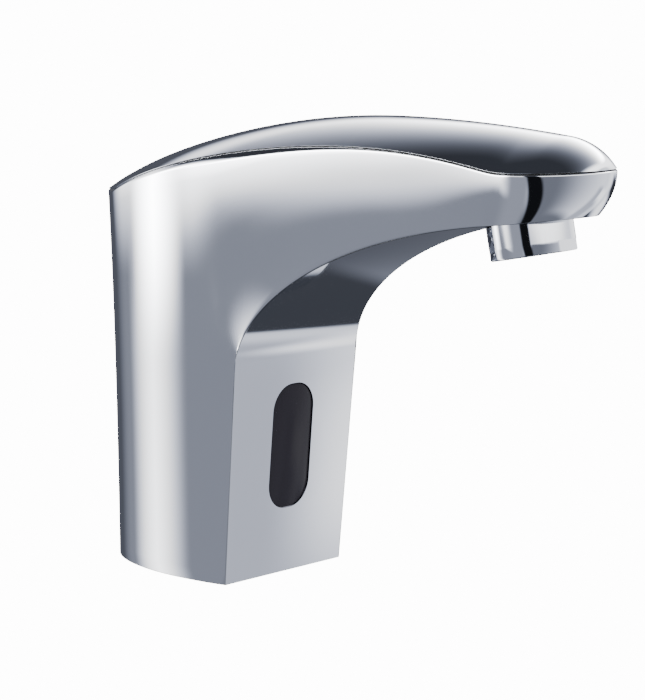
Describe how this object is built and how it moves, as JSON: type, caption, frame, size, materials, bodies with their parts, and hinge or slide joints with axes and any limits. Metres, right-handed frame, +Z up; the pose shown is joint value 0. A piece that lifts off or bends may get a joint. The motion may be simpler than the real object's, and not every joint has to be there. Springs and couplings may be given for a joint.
{
  "type": "sensor tap",
  "caption": "Touch-free basin tap: chromed column sweeping into a crowned spout, with sensor window, solenoid valve, battery box and aerator.",
  "frame": {"origin": "centre of the inlet socket's mouth, on the plane of the basin deck", "axes": "+X forward along the spout, +Z up, Y across the tap"},
  "size_m": [0.1965, 0.062, 0.151],
  "materials": {
    "chrome": "polished",
    "rubber": "matte",
    "lens": "gloss",
    "black_plastic": "satin",
    "diode_plastic": "gloss",
    "circuit_board": "satin",
    "components": "satin",
    "steel": "brushed",
    "battery_wrap": "satin",
    "brass": "machined",
    "white_plastic": "satin",
    "copper_winding": "satin",
    "lead_sheath": "satin"
  },
  "bodies": {
    "root": {"body_shell": "chrome", "top_cover": "chrome", "cover_gasket": "rubber", "cover_screw": "steel", "peg_ring": "rubber", "sensor_window": "lens", "window_gasket": "rubber", "sensor_housing": "black_plastic", "sensor_board": "circuit_board", "ir_emitter": "diode_plastic", "ir_receiver": "diode_plastic", "status_led": "diode_plastic", "sensor_back": "black_plastic", "sensor_screws": "steel", "control_board": "circuit_board", "board_components": "components", "board_screws": "steel", "battery_box": "black_plastic", "battery_pack": "battery_wrap", "battery_contacts": "brass", "battery_lid": "black_plastic", "support_frame": "black_plastic", "frame_screws": "steel", "base_plate": "brass", "base_screws": "steel", "base_gasket": "rubber", "inlet_fitting": "brass", "inlet_filter": "steel", "inlet_o_ring": "rubber", "valve_body": "white_plastic", "diaphragm": "rubber", "valve_bonnet": "white_plastic", "valve_screws": "steel", "plunger_spring": "steel", "coil_bobbin": "black_plastic", "coil_winding": "copper_winding", "coil_yoke": "steel", "coil_clip": "steel", "outlet_elbow": "brass", "outlet_tube": "white_plastic", "tube_clamps": "steel", "outlet_adapter": "brass", "adapter_o_ring": "rubber", "adapter_screws": "steel", "aerator_washer": "rubber", "aerator_insert": "white_plastic", "aerator_screen": "steel", "aerator_housing": "chrome", "sensor_lead": "lead_sheath", "valve_lead": "lead_sheath", "battery_lead": "lead_sheath"},
    "pilot": {"plunger": "steel", "plunger_seal": "rubber"},
    "main_valve": {"diaphragm_insert": "white_plastic"}
  },
  "joints": [
    {"name": "pilot_lift", "type": "slide", "parent": "root", "child": "pilot", "axis": [0, 0, 1], "range_m": [0, 0.0024], "stiffness_N_per_m": 120, "springref_m": -0.002, "deforming": ["plunger_spring"]},
    {"name": "main_valve_lift", "type": "slide", "parent": "root", "child": "main_valve", "axis": [0, 0, 1], "range_m": [0, 0.0012], "deforming": ["diaphragm"]}
  ],
  "couplings": [
    {"joint": "main_valve_lift", "follows": "pilot_lift", "ratio": 0.5}
  ]
}
